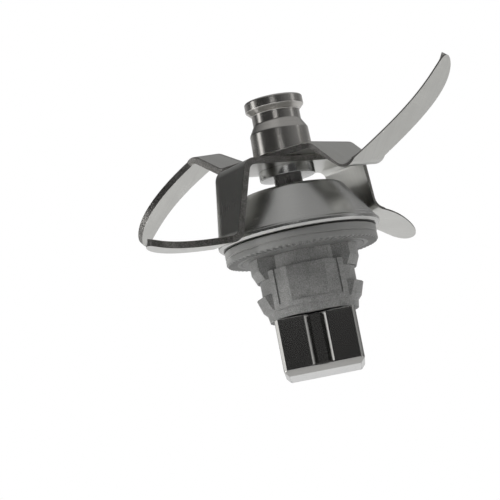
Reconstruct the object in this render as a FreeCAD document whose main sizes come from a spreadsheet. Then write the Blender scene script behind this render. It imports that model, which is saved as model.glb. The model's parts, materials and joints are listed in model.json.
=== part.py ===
import FreeCAD, Part

import math
import os

import Sketcher

# Driving dimensions in millimetres and degrees. Heights run up the shaft from the coupling's foot.
SIZES = {
    # drive coupling: a square block with a groove down each side and a chamfered foot
    "coupling_height": 18.1,
    "coupling_half": 12.8,
    "coupling_corner": 1.1,
    "groove_mouth": 3.7,
    "groove_floor": 1.5,
    "groove_depth": 2.0,
    "groove_foot": 2.0,
    "foot_inset": 1.4,
    "foot_chamfer": 1.6,
    "shaft_socket": 13.3,
    # bearing housing
    "housing_gap": 0.5,
    "barrel_radius": 15.15,
    "barrel_height": 20.0,
    "barrel_mouth": 14.2,
    "barrel_side": 9.4,
    "ear_radius": 17.3,
    "ear_root": 16.0,
    "ear_rise": 3.0,
    "ear_height": 7.0,
    "upper_radius": 13.0,
    "upper_height": 4.6,
    "panel_half": 6.0,
    "panel_flat": 13.9,
    "panel_up": 4.3,
    "slot_outer": 10.2,
    "slot_edge": 13.6,
    "slot_floor": 10.8,
    "lug_root": 14.6,
    "lug_root_up": 2.3,
    "lug_shoulder": 15.8,
    "lug_shoulder_up": 3.6,
    "lug_reach": 17.1,
    "lug_top_up": 7.6,
    "lug_brow": 0.8,
    "neck_radius": 19.6,
    "neck_height": 5.1,
    "deck_radius": 24.6,
    "deck_height": 1.8,
    "boss_radius": 13.5,
    "boss_height": 10.3,
    "housing_bore": 9.6,
    # shaft and the pieces clamped on it
    "shaft_radius": 4.0,
    "shaft_shoulder": 5.0,
    "shoulder_height": 1.2,
    "journal_height": 3.2,
    "spigot_radius": 3.2,
    "spigot_flat": 2.6,
    "thread_length": 11.6,
    "sleeve_radius": 5.6,
    "collar_ring_radius": 4.5,
    "collar_ring_height": 7.5,
    "spacer_radius": 8.95,
    "spacer_height": 3.1,
    "hole_clearance": 0.03,
    # ball bearings
    "bearing_radius": 11.0,
    "bearing_height": 7.0,
    "land_step": 1.25,
    "ball_radius": 1.98,
    "ball_play": 0.03,
    "ball_count": 7,
    "cage_half": 0.65,
    "cage_below": 0.9,
    "cage_above": 2.9,
    "pocket_play": 0.1,
    "upper_bearing_up": 26.1,
    "lower_bearing_up": 4.1,
    # retaining ring, wave washer, seals
    "ring_height": 1.0,
    "ring_inner": 9.0,
    "ring_groove": 0.8,
    "wave_height": 0.4,
    "wave_inner": 8.4,
    "wave_play": 0.2,
    "lip_gap": 0.05,
    "lip_height": 1.4,
    "seal_wall": 1.8,
    "seal_radius": 24.4,
    "seal_height": 4.7,
    "seal_bead": 0.5,
    "tooth_count": 72,
    "tooth_depth": 0.35,
    "tooth_width": 0.9,
    # cover
    "cover_wall": 1.0,
    "cover_height": 15.5,
    "cover_rim": 26.0,
    "lip_turn": 0.7,
    "lip_rise": 1.0,
    "cover_top": 16.4,
    "cover_round": 3.0,
    "cover_hole": 6.0,
    "oring_place": 11.6,
    # cap nut
    "cap_height": 18.3,
    "cap_foot": 9.6,
    "cap_waist": 9.4,
    "cap_waist_up": 7.6,
    "cap_neck": 7.75,
    "cap_neck_up": 10.5,
    "cap_head": 9.4,
    "cap_head_height": 3.0,
    "cap_undercut": 1.4,
    "cap_round": 0.5,
    # blade strips
    "sheet": 2.2,
    "fold_radius": 3.4,
    "bevel": 3.6,
    "land": 0.5,
    "edge_break": 0.25,
    "tip_power": 6.0,
    "upper_azimuth": -32.0,
    "lower_azimuth": 36.0,
    "upper_hub_width": 18.6,
    "lower_hub_width": 19.1,
}

# The four wings. root: hub centre to the first fold. arm, leaf: lengths between folds and to the tip.
# rise: slope of the arm and of the leaf above level. skew: how far each fold line is out of square.
# sweep, curl and hook bend the leaf's middle line sideways. taper and swell set how its width changes.
WINGS = {
    "right": dict(root=17.7, arm=14.0, leaf=39.7, arm_rise=-46.5, leaf_rise=51.3, root_skew=10.7,
                  leaf_skew=5.0, arm_width=16.0, offset=0.0, sweep=41.4, curl=-8.5, hook=-11.5,
                  taper=-0.24, swell=-0.16),
    "left": dict(root=16.7, arm=15.2, leaf=35.3, arm_rise=34.6, leaf_rise=-37.8, root_skew=13.3,
                 leaf_skew=0.6, arm_width=15.8, offset=-1.0, sweep=32.0, curl=-20.9, hook=-2.8,
                 taper=-0.57, swell=0.08),
    "front": dict(root=20.7, arm=24.8, leaf=29.4, arm_rise=-73.1, leaf_rise=4.3, root_skew=1.1,
                  leaf_skew=4.2, arm_width=13.2, offset=1.1, sweep=-39.2, curl=47.2, hook=-9.6,
                  taper=-0.69, swell=0.16),
    "back": dict(root=23.0, arm=17.8, leaf=31.4, arm_rise=-83.4, leaf_rise=-9.4, root_skew=-5.2,
                 leaf_skew=-2.9, arm_width=16.6, offset=0.1, sweep=1.4, curl=22.0, hook=-9.5,
                 taper=-0.44, swell=0.14),
}


class Size:
    """A dimension: its value now, and the expression that binds a sketch or feature to the sheet."""

    def __init__(self, value, text):
        self.value = value
        self.text = text

    def joined(self, other, sign, value):
        text = other.text if isinstance(other, Size) else str(other)
        return Size(value, f"({self.text} {sign} {text})")

    def __add__(self, other):
        return self.joined(other, "+", self.value + number(other))

    def __sub__(self, other):
        return self.joined(other, "-", self.value - number(other))

    def __mul__(self, other):
        return self.joined(other, "*", self.value * number(other))

    def __truediv__(self, other):
        return self.joined(other, "/", self.value / number(other))

    def __neg__(self):
        return Size(-self.value, f"(0 - {self.text})")


def number(item):
    """The plain number in a Size, or the number itself."""
    return item.value if isinstance(item, Size) else float(item)


def leg(slant, side):
    """The third side of a right-angled triangle from its longest side and another."""
    value = math.sqrt(slant.value ** 2 - side.value ** 2)
    return Size(value, f"sqrt({slant.text} ^ 2 - {side.text} ^ 2)")


class Sheet:
    """The spreadsheet of driving dimensions, read back by name."""

    def __init__(self, document, sizes):
        self.table = document.addObject("Spreadsheet::Sheet", "sizes")
        for row, (name, value) in enumerate(sizes.items(), start=1):
            self.table.set(f"A{row}", name)
            self.table.set(f"B{row}", str(value))
            self.table.setAlias(f"B{row}", name)
        document.recompute()

    def __getattr__(self, name):
        return Size(float(self.table.get(name)), f"sizes.{name}")


def wing_sizes(wings):
    """The wings' dimensions under flat names for the sheet."""
    return {f"{wing}_{name}": value for wing, row in wings.items() for name, value in row.items()}


doc = FreeCAD.newDocument("blade_unit")
s = Sheet(doc, {**SIZES, **wing_sizes(WINGS)})

# Levels up the shaft, each from the piece below it
HOUSING_FOOT = s.coupling_height + s.housing_gap
NECK_FOOT = HOUSING_FOOT + s.barrel_height
DECK_FOOT = NECK_FOOT + s.neck_height
DECK_TOP = DECK_FOOT + s.deck_height
BOSS_TOP = DECK_TOP + s.boss_height
LOWER_BEARING = HOUSING_FOOT + s.lower_bearing_up
UPPER_BEARING = HOUSING_FOOT + s.upper_bearing_up
UPPER_BEARING_TOP = UPPER_BEARING + s.bearing_height
COVER_TOP = DECK_FOOT + s.cover_height
COLLAR_FOOT = UPPER_BEARING_TOP + s.shoulder_height + s.journal_height
SPACER_FOOT = COLLAR_FOOT + s.collar_ring_height
LOWER_STRIP = SPACER_FOOT + s.spacer_height
UPPER_STRIP = LOWER_STRIP + s.sheet
CAP_FOOT = UPPER_STRIP + s.sheet
CAP_TOP = CAP_FOOT + s.cap_height

# Names for the ends of a sketch edge and for the sketch's own axes
FIRST_END, SECOND_END = 1, 2
LEVEL_AXIS, UPRIGHT_AXIS = -1, -2

# A circle lies level when its axis has at least this upright share
LEVEL_CIRCLE = 0.999

# The balls' pitch circle lies midway between the shaft and the bearing's seat
BALL_PITCH = (s.shaft_radius + s.bearing_radius) / 2
INNER_LAND = BALL_PITCH - s.land_step
OUTER_LAND = BALL_PITCH + s.land_step


def bind(sketch, row, size):
    """Ties one constraint of a sketch to the sheet."""
    if isinstance(size, Size):
        sketch.setExpression(f"Constraints[{row}]", size.text)


def arc_middle(start, end, radius, side):
    """The middle of the shorter arc between two points; side +1 bulges to the left of the way there."""
    chord = end - start
    half = chord.Length / 2
    sagitta = radius - math.sqrt(max(radius ** 2 - half ** 2, 0.0))
    normal = FreeCAD.Vector(-chord.y, chord.x, 0).normalize()
    return (start + end) * 0.5 + normal * (sagitta * side)


class Arc:
    """A corner that an arc leads on from; side +1 bulges to the left of the way to the next corner."""

    def __init__(self, across, up, radius, side):
        self.place = (across, up)
        self.radius = radius
        self.side = side


def outline(body, name, plane, corners, lift=None):
    """A closed sketch. A corner is (x, y), or an Arc."""
    sketch = body.newObject("Sketcher::SketchObject", name)
    base = [item for item in body.Origin.OriginFeatures if item.Role == plane][0]
    sketch.AttachmentSupport = (base, "")
    sketch.MapMode = "FlatFace"
    if lift is not None:
        sketch.setExpression("AttachmentOffset.Base.z", lift.text)
    sizes = [corner.place if isinstance(corner, Arc) else corner for corner in corners]
    places = [FreeCAD.Vector(number(across), number(up), 0) for across, up in sizes]
    edges, starts = [], []
    for index, corner in enumerate(corners):
        start, end = places[index], places[(index + 1) % len(places)]
        if not isinstance(corner, Arc):
            edges.append(Part.LineSegment(start, end))
            starts.append(FIRST_END)
            continue
        # an arc is drawn anticlockwise, so where it bulges to the left its ends are swapped
        middle = arc_middle(start, end, number(corner.radius), corner.side)
        swapped = corner.side > 0
        edges.append(Part.Arc(end, middle, start) if swapped else Part.Arc(start, middle, end))
        starts.append(SECOND_END if swapped else FIRST_END)
    sketch.addGeometry(edges, False)
    for index, corner in enumerate(corners):
        following = (index + 1) % len(corners)
        last = FIRST_END + SECOND_END - starts[index]
        sketch.addConstraint(Sketcher.Constraint("Coincident", index, last, following, starts[following]))
    for index, corner in enumerate(corners):
        for kind, axis, size in zip(("DistanceX", "DistanceY"), (UPRIGHT_AXIS, LEVEL_AXIS), sizes[index]):
            if number(size) == 0:
                sketch.addConstraint(Sketcher.Constraint("PointOnObject", index, starts[index], axis))
                continue
            row = sketch.addConstraint(Sketcher.Constraint(
                kind, LEVEL_AXIS, FIRST_END, index, starts[index], number(size)))
            bind(sketch, row, size)
        if isinstance(corner, Arc):
            row = sketch.addConstraint(Sketcher.Constraint("Radius", index, number(corner.radius)))
            bind(sketch, row, corner.radius)
    return sketch


def new_body(name):
    body = doc.addObject("PartDesign::Body", name)
    body.Label = name
    return body


def revolve(body, name, corners, cut=False):
    """A revolved solid or groove about the shaft's axis from an outline of (radius, height) corners."""
    sketch = outline(body, f"{name}_outline", "XZ_Plane", corners)
    kind = "PartDesign::Groove" if cut else "PartDesign::Revolution"
    feature = body.newObject(kind, name)
    feature.Profile = sketch
    feature.ReferenceAxis = (sketch, ["V_Axis"])
    feature.Angle = 360
    body.Tip = feature
    return feature


def extrude(body, name, corners, length, start=None, cut=False):
    """A pad or pocket of a level outline, upwards from its starting height."""
    sketch = outline(body, f"{name}_outline", "XY_Plane", corners, lift=start)
    feature = body.newObject("PartDesign::Pocket" if cut else "PartDesign::Pad", name)
    feature.Profile = sketch
    feature.Length = length.value
    feature.setExpression("Length", length.text)
    feature.Reversed = cut
    body.Tip = feature
    return feature


def around(body, name, feature, count):
    """Repeats a feature evenly about the shaft's axis."""
    pattern = body.newObject("PartDesign::PolarPattern", name)
    pattern.Originals = [feature]
    axis = [item for item in body.Origin.OriginFeatures if item.Role == "Z_Axis"][0]
    pattern.Axis = (axis, [""])
    pattern.Angle = 360
    if isinstance(count, Size):
        pattern.Occurrences = int(count.value)
        pattern.setExpression("Occurrences", count.text)
    else:
        pattern.Occurrences = count
    body.Tip = pattern
    return pattern


def round_edges(body, name, radius, chosen):
    """Rounds the circular edges that chosen(radius, height) accepts."""
    doc.recompute()
    base = body.Tip
    names = []
    for index, edge in enumerate(base.Shape.Edges, start=1):
        if isinstance(edge.Curve, Part.Circle) and abs(edge.Curve.Axis.z) > LEVEL_CIRCLE:
            if chosen(edge.Curve.Radius, edge.Curve.Center.z):
                names.append(f"Edge{index}")
    feature = body.newObject("PartDesign::Fillet", name)
    feature.Base = (base, names)
    feature.Radius = radius.value
    feature.setExpression("Radius", radius.text)
    body.Tip = feature
    return feature


def ring(name, inner, outer, foot, top):
    """A plain turned ring or sleeve."""
    body = new_body(name)
    revolve(body, f"{name}_turned", [(inner, foot), (outer, foot), (outer, top), (inner, top)])
    return body


def near(one, other):
    return abs(one - number(other)) < 0.01


def drive_coupling():
    """Square block with a groove down each side, a chamfered foot and a blind socket for the shaft."""
    body = new_body("drive_coupling")
    half, cut = s.coupling_half, s.coupling_corner
    short = half - cut
    extrude(body, "block", [
        (-short, -half), (short, -half), (half, -short), (half, short),
        (short, half), (-short, half), (-half, short), (-half, -short)], s.coupling_height)
    floor = half - s.groove_depth
    beyond = half + s.groove_depth
    groove = extrude(body, "groove", [
        (s.groove_floor, floor), (s.groove_mouth, half), (s.groove_mouth, beyond),
        (-s.groove_mouth, beyond), (-s.groove_mouth, half), (-s.groove_floor, floor)],
        s.coupling_height - s.groove_foot, start=s.groove_foot, cut=True)
    around(body, "grooves", groove, 4)
    # the chamfer's slope is carried on past the block, below the foot and outside the face
    sketch = outline(body, "foot_chamfer_outline", "YZ_Plane", [
        (half - s.foot_inset * 2, -s.foot_chamfer), (half + s.foot_inset, -s.foot_chamfer),
        (half + s.foot_inset, s.foot_chamfer * 2)])
    chamfer = body.newObject("PartDesign::Pocket", "foot_chamfer")
    chamfer.Profile = sketch
    chamfer.Midplane = True
    chamfer.Length = (half * 3).value
    chamfer.setExpression("Length", (half * 3).text)
    body.Tip = chamfer
    around(body, "foot_chamfers", chamfer, 4)
    socket_foot = s.coupling_height - s.shaft_socket
    socket_top = s.coupling_height + s.foot_chamfer
    revolve(body, "socket", [
        (0, socket_foot), (s.shaft_radius, socket_foot), (s.shaft_radius, socket_top), (0, socket_top)],
        cut=True)
    return body


def trim(body, name, radius, foot, height):
    """Cuts the barrel's front and back down to a smaller radius, and leaves its two sides standing."""
    far = s.ear_radius * 2
    side = s.barrel_side
    wide = leg(radius, side)
    pocket = extrude(body, name, [
        (-far, side), Arc(-wide, side, radius, 1), (wide, side), (far, side), (far, far), (-far, far)],
        height, start=foot, cut=True)
    around(body, f"{name}s", pocket, 2)


def bearing_housing():
    """Cast housing: barrel with side lugs and ears, neck for the seal, deck and boss under the cover."""
    body = new_body("bearing_housing")
    ear_foot = NECK_FOOT - s.ear_height
    lug_top = HOUSING_FOOT + s.lug_top_up
    ring_foot = LOWER_BEARING - s.wave_height - s.wave_play - s.ring_height
    ring_top = ring_foot + s.ring_height
    groove = s.bearing_radius + s.ring_groove
    bearing_top = LOWER_BEARING + s.bearing_height
    revolve(body, "casting", [
        (s.bearing_radius, HOUSING_FOOT), (s.barrel_mouth, HOUSING_FOOT),
        (s.lug_root, HOUSING_FOOT + s.lug_root_up), (s.lug_shoulder, HOUSING_FOOT + s.lug_shoulder_up),
        (s.lug_reach, lug_top), (s.barrel_radius, lug_top + s.lug_brow), (s.barrel_radius, ear_foot),
        (s.ear_root, ear_foot), (s.ear_radius, ear_foot + s.ear_rise), (s.ear_radius, NECK_FOOT),
        (s.neck_radius, NECK_FOOT), (s.neck_radius, DECK_FOOT), (s.deck_radius, DECK_FOOT),
        (s.deck_radius, DECK_TOP), (s.boss_radius, DECK_TOP), (s.boss_radius, BOSS_TOP),
        (s.bearing_radius, BOSS_TOP), (s.bearing_radius, UPPER_BEARING), (s.housing_bore, UPPER_BEARING),
        (s.housing_bore, bearing_top), (s.bearing_radius, bearing_top), (s.bearing_radius, ring_top),
        (groove, ring_top), (groove, ring_foot), (s.bearing_radius, ring_foot)])
    trim(body, "barrel_face", s.barrel_radius, HOUSING_FOOT, s.barrel_height)
    trim(body, "upper_recess", s.upper_radius, NECK_FOOT - s.upper_height, s.upper_height)
    far = s.ear_radius * 2
    panel_foot = HOUSING_FOOT + s.panel_up
    height = s.barrel_height - s.panel_up - s.upper_height
    panel = extrude(body, "panel", [
        (-s.panel_half, s.panel_flat), (s.panel_half, s.panel_flat), (s.panel_half, far),
        (-s.panel_half, far)], height, start=panel_foot, cut=True)
    around(body, "panels", panel, 2)
    slots = (("left", -s.panel_half, -s.slot_outer), ("right", s.panel_half, s.slot_outer))
    for side, inner, outer in slots:
        slot = extrude(body, f"{side}_slot", [
            (inner, s.slot_edge), (outer, s.slot_floor), (outer, far), (inner, far)],
            height, start=panel_foot, cut=True)
        around(body, f"{side}_slots", slot, 2)
    return body


def cone_cover():
    """Pressed steel cover with a rolled rim, a rounded shoulder and the hole that the shaft comes through."""
    body = new_body("cone_cover")
    rim_foot = DECK_FOOT + s.lip_turn
    rim_top = rim_foot + s.lip_rise
    under = COVER_TOP - s.cover_wall
    revolve(body, "pressing", [
        (s.deck_radius, DECK_FOOT), (s.cover_rim - s.lip_turn, DECK_FOOT), (s.cover_rim, rim_foot),
        (s.cover_rim, rim_top), (s.cover_rim - s.lip_turn, rim_top + s.lip_turn),
        (s.cover_top, COVER_TOP), (s.cover_hole, COVER_TOP), (s.cover_hole, under),
        (s.cover_top - s.cover_wall / 2, under), (s.deck_radius, DECK_TOP + s.lip_turn)])
    round_edges(body, "shoulder", s.cover_round, lambda r, z: near(r, s.cover_top) and near(z, COVER_TOP))
    inner = s.cover_top - s.cover_wall / 2
    round_edges(body, "shoulder_inside", s.cover_round - s.cover_wall,
                lambda r, z: near(r, inner) and near(z, under))
    return body


def cover_oring():
    """Round-section ring squeezed between the boss and the cover."""
    torus = doc.addObject("Part::Torus", "cover_oring")
    torus.Label = "cover_oring"
    gap = COVER_TOP - s.cover_wall - BOSS_TOP
    middle = BOSS_TOP + gap / 2
    torus.setExpression("Radius1", s.oring_place.text)
    torus.setExpression("Radius2", (gap / 2).text)
    torus.setExpression("Placement.Base.z", middle.text)
    return torus


def seal_ring():
    """Rubber ring on the housing's neck, with a bead at mid-height and fine teeth round its lower edge."""
    body = new_body("seal_ring")
    middle = NECK_FOOT + s.seal_height / 2
    outer = s.seal_radius
    root = s.neck_radius + s.seal_bead * 3
    revolve(body, "moulding", [
        (s.neck_radius, NECK_FOOT), (outer - s.seal_bead, NECK_FOOT), (outer, NECK_FOOT + s.seal_bead),
        (outer, middle - s.seal_bead), (outer - s.seal_bead, middle), (outer, middle + s.seal_bead),
        (outer, NECK_FOOT + s.seal_height), (s.neck_radius, NECK_FOOT + s.seal_height)])
    slot = extrude(body, "tooth_gap", [
        (-s.tooth_width / 2, root), (s.tooth_width / 2, root),
        (s.tooth_width / 2, s.cover_rim), (-s.tooth_width / 2, s.cover_rim)],
        s.tooth_depth, start=NECK_FOOT, cut=True)
    around(body, "teeth", slot, s.tooth_count)
    return body


def shaft_seal():
    """Lip seal that closes the top of the boss round the shaft."""
    body = new_body("shaft_seal")
    lip_foot = BOSS_TOP - s.lip_height
    lip = s.shaft_radius + s.lip_gap
    wall = s.bearing_radius - s.seal_wall
    revolve(body, "moulding", [
        (wall, UPPER_BEARING_TOP), (s.bearing_radius, UPPER_BEARING_TOP), (s.bearing_radius, BOSS_TOP),
        (lip, BOSS_TOP), (lip, lip_foot), (wall, lip_foot)])
    return body


def drive_shaft():
    """Turned shaft: coupling end, bearing journal, shoulder, and a flatted spigot ending in the thread."""
    body = new_body("drive_shaft")
    foot = s.coupling_height - s.shaft_socket
    shoulder_top = UPPER_BEARING_TOP + s.shoulder_height
    top = CAP_FOOT + s.thread_length
    revolve(body, "turning", [
        (0, foot), (s.shaft_radius, foot), (s.shaft_radius, UPPER_BEARING_TOP),
        (s.shaft_shoulder, UPPER_BEARING_TOP), (s.shaft_shoulder, shoulder_top),
        (s.shaft_radius, shoulder_top), (s.shaft_radius, COLLAR_FOOT), (s.spigot_radius, COLLAR_FOOT),
        (s.spigot_radius, top), (0, top)])
    height = CAP_FOOT - SPACER_FOOT
    flat = extrude(body, "flat", [
        (-s.spigot_radius, s.spigot_flat), (s.spigot_radius, s.spigot_flat),
        (s.spigot_radius, s.spigot_radius * 2), (-s.spigot_radius, s.spigot_radius * 2)],
        height, start=SPACER_FOOT, cut=True)
    around(body, "flats", flat, 2)
    return body


def hub_spacer():
    """A round disc with a flatted hole, which carries the strips on the spigot."""
    body = new_body("hub_spacer")
    revolve(body, "disc", [
        (0, SPACER_FOOT), (s.spacer_radius, SPACER_FOOT), (s.spacer_radius, LOWER_STRIP), (0, LOWER_STRIP)])
    high = s.spigot_flat + s.hole_clearance
    radius = s.spigot_radius + s.hole_clearance
    wide = leg(radius, high)
    extrude(body, "spigot_hole", [
        (-wide, -high), Arc(wide, -high, radius, -1), (wide, high), Arc(-wide, high, radius, -1)],
        s.spacer_height, start=SPACER_FOOT, cut=True)
    return body


def cap_nut():
    """Turned nut with a waisted barrel, a narrow neck and a flat round head."""
    body = new_body("cap_nut")
    waist = CAP_FOOT + s.cap_waist_up
    neck = CAP_FOOT + s.cap_neck_up
    head = CAP_TOP - s.cap_head_height
    bore = s.spigot_radius + s.hole_clearance
    bore_top = CAP_FOOT + s.thread_length + s.cap_round
    revolve(body, "turning", [
        (bore, CAP_FOOT), (s.cap_foot, CAP_FOOT), (s.cap_waist, waist), (s.cap_neck, neck),
        (s.cap_neck, head - s.cap_undercut), (s.cap_head - s.cap_undercut, head - s.cap_undercut),
        (s.cap_head, head), (s.cap_head, CAP_TOP), (0, CAP_TOP), (0, bore_top), (bore, bore_top)])
    round_edges(body, "head_edge", s.cap_round, lambda r, z: near(r, s.cap_head) and near(z, CAP_TOP))
    return body


def bearing_rings(place, foot):
    """Inner and outer ring of one ball bearing, each with its ball groove."""
    top = foot + s.bearing_height
    middle = foot + s.bearing_height / 2
    groove = s.ball_radius + s.ball_play
    rise = leg(groove, s.land_step)
    inner = new_body(f"{place}_inner_ring")
    revolve(inner, f"{place}_inner", [
        (s.shaft_radius, foot), (INNER_LAND, foot), Arc(INNER_LAND, middle - rise, groove, 1),
        (INNER_LAND, middle + rise), (INNER_LAND, top), (s.shaft_radius, top)])
    outer = new_body(f"{place}_outer_ring")
    revolve(outer, f"{place}_outer", [
        (s.bearing_radius, foot), (s.bearing_radius, top), (OUTER_LAND, top),
        Arc(OUTER_LAND, middle + rise, groove, 1), (OUTER_LAND, middle - rise),
        (OUTER_LAND, foot)])
    return [inner, outer]


def ball_positions():
    """Centres of the balls, evenly round the pitch circle."""
    count = int(s.ball_count.value)
    for index in range(count):
        angle = 360 / count * index
        yield index, BALL_PITCH * math.cos(math.radians(angle)), BALL_PITCH * math.sin(math.radians(angle))


def ball_set(place, foot):
    """The balls of one bearing as a group, and the crown cage that spaces them."""
    middle = foot + s.bearing_height / 2
    balls, pockets = [], []
    for index, across, along in ball_positions():
        for kind, radius, group in (("ball", s.ball_radius, balls),
                                    ("pocket", s.ball_radius + s.pocket_play, pockets)):
            sphere = doc.addObject("Part::Sphere", f"{place}_{kind}_{index + 1}")
            sphere.setExpression("Radius", radius.text)
            sphere.setExpression("Placement.Base.x", across.text)
            sphere.setExpression("Placement.Base.y", along.text)
            sphere.setExpression("Placement.Base.z", middle.text)
            group.append(sphere)
    group = doc.addObject("Part::Compound", f"{place}_balls")
    group.Label = f"{place}_balls"
    group.Links = balls
    low, high = middle - s.cage_below, middle + s.cage_above
    blank = ring(f"{place}_cage_blank", BALL_PITCH - s.cage_half, BALL_PITCH + s.cage_half, low, high)
    holes = doc.addObject("Part::MultiFuse", f"{place}_pockets")
    holes.Shapes = pockets
    cage = doc.addObject("Part::Cut", f"{place}_cage")
    cage.Label = f"{place}_cage"
    cage.Base = blank
    cage.Tool = holes
    return [group, cage]


class Fold:
    """One fold of a sheet: past the fold line the sheet curls through an angle at a set radius."""

    def __init__(self, start, skew, angle, radius):
        slope = math.tan(math.radians(skew))
        scale = math.hypot(1.0, slope)
        self.origin = FreeCAD.Vector(start, 0, 0)
        self.across = FreeCAD.Vector(1 / scale, -slope / scale, 0)
        self.line = FreeCAD.Vector(slope / scale, 1 / scale, 0)
        self.radius = math.copysign(radius, angle)
        self.arc = abs(math.radians(angle)) * radius

    def applied(self, point):
        offset = point - self.origin
        run, side = offset.dot(self.across), offset.dot(self.line)
        if run <= 0:
            return point
        turned = min(run, self.arc) / self.radius
        past = max(run - self.arc, 0.0)
        lever = self.radius - offset.z
        ahead = lever * math.sin(turned) + past * math.cos(turned)
        rise = self.radius - lever * math.cos(turned) + past * math.sin(turned)
        return self.origin + self.across * ahead + self.line * side + FreeCAD.Vector(0, 0, rise)


class Wing:
    """One half of a blade strip, from the hub's centre to its tip, as flat stations that are then folded."""

    ARM_STATIONS = 2
    FOLD_STATIONS = 7
    LEAF_STATIONS = 15
    FOLD_GROWTH = (0.25, 0.75)
    TIP_END = 0.999
    BEVEL_SHARE = 0.45
    BREAK_SHARE = 0.2

    def __init__(self, name, hub_width, strip_height, azimuth):
        for key in WINGS[name]:
            setattr(self, key, getattr(s, f"{name}_{key}").value)
        self.hub_width = hub_width.value
        self.height = (strip_height + s.sheet / 2).value
        self.azimuth = math.radians(azimuth)
        self.radius = s.fold_radius.value
        first_turn, second_turn = self.arm_rise, self.leaf_rise - self.arm_rise
        first_back = self.radius * math.tan(math.radians(abs(first_turn)) / 2)
        self.second_back = self.radius * math.tan(math.radians(abs(second_turn)) / 2)
        self.first_start = self.root - first_back
        self.first_end = self.first_start + self.radius * math.radians(abs(first_turn))
        self.second_start = self.first_end + self.arm - first_back - self.second_back
        self.second_end = self.second_start + self.radius * math.radians(abs(second_turn))
        self.folds = [Fold(self.first_start, self.root_skew, first_turn, self.radius),
                      Fold(self.second_start, self.leaf_skew, second_turn, self.radius)]

    def edges(self, along):
        """Cutting edge and back edge of the flat blank at a distance along it."""
        if along <= self.first_start:
            return -self.hub_width / 2, self.hub_width / 2
        if along <= self.second_end:
            share = (along - self.first_start) / (self.second_end - self.first_start)
            middle = self.offset * share
            half = (self.hub_width + (self.arm_width - self.hub_width) * share) / 2
            return middle - half, middle + half
        part = (along - self.second_end) / self.leaf_length()
        middle = self.offset + self.sweep * part + self.curl * part ** 2 + self.hook * part ** 3
        half = self.arm_width / 2 * (1 + self.taper * part + self.swell * part ** 2)
        half *= math.sqrt(max(1 - part ** s.tip_power.value, 0.0))
        return middle - half, middle + half

    def leaf_length(self):
        return self.leaf - self.second_back

    def stations(self):
        """Distances along the blank with the skew of the section there and how far the bevel has grown."""
        for step in range(self.ARM_STATIONS):
            yield self.first_start * step / self.ARM_STATIONS, self.root_skew * step / self.ARM_STATIONS, 0.0
        bends = ((self.first_start, self.first_end, self.root_skew, self.FOLD_GROWTH[0]),
                 (self.second_start, self.second_end, self.leaf_skew, self.FOLD_GROWTH[1]))
        for start, end, skew, growth in bends:
            stretch = math.cos(math.radians(skew))
            for step in range(self.FOLD_STATIONS):
                share = step / (self.FOLD_STATIONS - 1)
                yield start + (end - start) * share / stretch, skew, growth
        for step in range(1, self.LEAF_STATIONS + 1):
            share = math.sin(math.pi / 2 * step / self.LEAF_STATIONS)
            part = min(share, self.TIP_END)
            yield self.second_end + self.leaf_length() * part, self.leaf_skew * (1 - share), 1.0

    def section(self, along, skew, growth):
        """A six-sided section: bevelled on the cutting edge, barely broken on the back edge."""
        cutting, back = self.edges(along)
        half = s.sheet.value / 2
        width = back - cutting
        broken = min(s.edge_break.value, width * self.BREAK_SHARE)
        bevel = min(broken + s.bevel.value * growth, width * self.BEVEL_SHARE)
        land = s.land.value * growth + (s.sheet.value - broken) * (1 - growth)
        slope = math.tan(math.radians(skew))
        points = []
        for side, height in ((cutting, -half), (cutting, -half + land), (cutting + bevel, half),
                             (back - broken, half), (back, half - broken), (back, -half)):
            points.append(self.placed(FreeCAD.Vector(along + side * slope, side, height)))
        return Part.makePolygon(points + points[:1])

    def placed(self, point):
        for fold in reversed(self.folds):
            point = fold.applied(point)
        turned = FreeCAD.Rotation(FreeCAD.Vector(0, 0, 1), math.degrees(self.azimuth)).multVec(point)
        return turned + FreeCAD.Vector(0, 0, self.height)

    def solid(self):
        sections = [self.section(*station) for station in self.stations()]
        return Part.makeLoft(sections, True, True)


def blade_strip(name, wings, hub_width, foot, azimuth):
    """A folded strip: two wings end to end through the hub, with the flatted hole for the spigot."""
    first = Wing(wings[0], hub_width, foot, azimuth).solid()
    second = Wing(wings[1], hub_width, foot, azimuth + 180.0).solid()
    shape = first.fuse(second)
    radius = s.spigot_radius.value + s.hole_clearance.value
    high = s.spigot_flat.value + s.hole_clearance.value
    start = FreeCAD.Vector(0, 0, foot.value - s.sheet.value)
    hole = Part.makeCylinder(radius, s.sheet.value * 3, start)
    slab = Part.makeBox(radius * 2, high * 2, s.sheet.value * 3, start - FreeCAD.Vector(radius, high, 0))
    feature = doc.addObject("Part::Feature", name)
    feature.Label = name
    feature.Shape = shape.cut(hole.common(slab))
    return feature


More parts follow.
